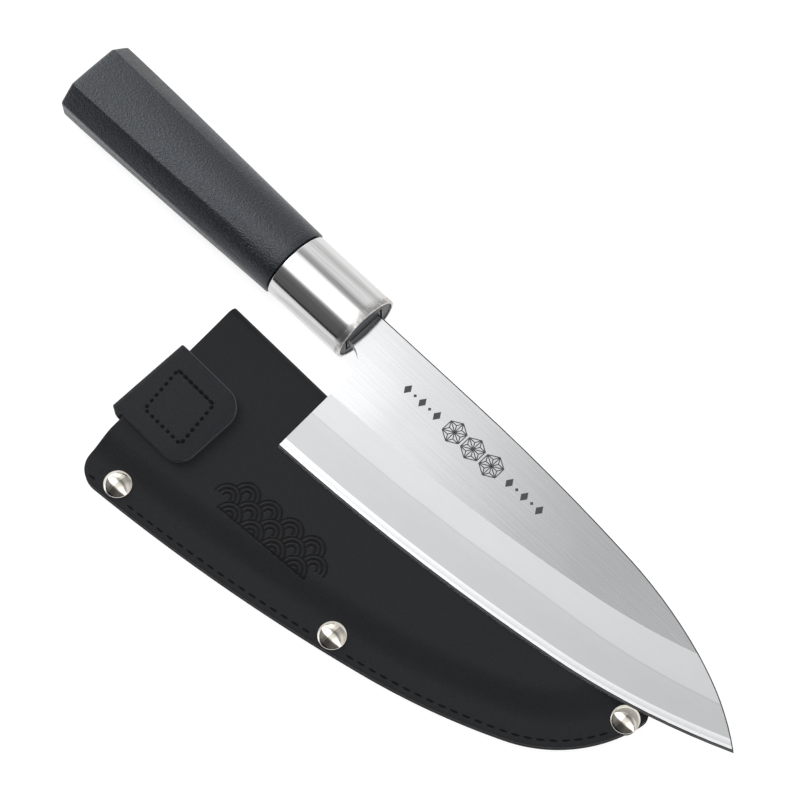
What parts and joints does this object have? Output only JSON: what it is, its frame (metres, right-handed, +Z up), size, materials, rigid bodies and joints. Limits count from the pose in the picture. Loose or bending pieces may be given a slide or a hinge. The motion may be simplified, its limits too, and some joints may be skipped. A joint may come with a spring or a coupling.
{
  "type": "deba knife with sheath",
  "caption": "Single-bevel deba kitchen knife with an octagonal grip and a steel ferrule, lying on its folded and stitched leather sheath, whose strap closes over the mouth.",
  "frame": {"origin": "on the flat back of the sheath, at the middle of its length and of the width of its outline", "axes": "+X from the sheath's mouth to its tip, along its fold; +Y from the seam to the fold and on to the knife's spine side; +Z up, out of the sheath's front"},
  "size_m": [0.3034, 0.11, 0.0191],
  "materials": {
    "blade_steel": "satin, brushed lengthwise",
    "ferrule_steel": "polished stainless steel",
    "handle_resin": "matte with a fine moulded grain",
    "sheath_leather": "smooth black, semi-matte",
    "welt_leather": "cut edge, black",
    "thread": "waxed black thread",
    "rivet_nickel": "polished nickel plate",
    "loop_tape": "black loop pile",
    "hook_tape": "black moulded hooks"
  },
  "bodies": {
    "sheath": {"sheath_leather": "sheath_leather", "edge_welt": "welt_leather", "edge_stitching": "thread", "rivet_caps": "rivet_nickel", "rivet_backs": "rivet_nickel", "loop_patch": "loop_tape", "loop_patch_stitching": "thread"},
    "strap_bend": {"strap_fold": "sheath_leather"},
    "strap_end": {"strap_flap": "sheath_leather", "hook_patch": "hook_tape", "strap_stitching": "thread"},
    "knife": {"blade": "blade_steel", "ferrule": "ferrule_steel", "handle": "handle_resin"}
  },
  "joints": [
    {"name": "strap_root_bend", "type": "hinge", "parent": "sheath", "child": "strap_bend", "pos_m": [-0.0946, 0.00015, 0], "axis": [0, -1, 0], "range_deg": [0, 90]},
    {"name": "strap_end_bend", "type": "hinge", "parent": "strap_bend", "child": "strap_end", "pos_m": [-0.0946, 0.00015, 0.0105], "axis": [0, -1, 0], "range_deg": [0, 90]},
    {"name": "knife_lift", "type": "slide", "parent": "sheath", "child": "knife", "axis": [0, 0, 1], "range_m": [0, 0.06]}
  ]
}
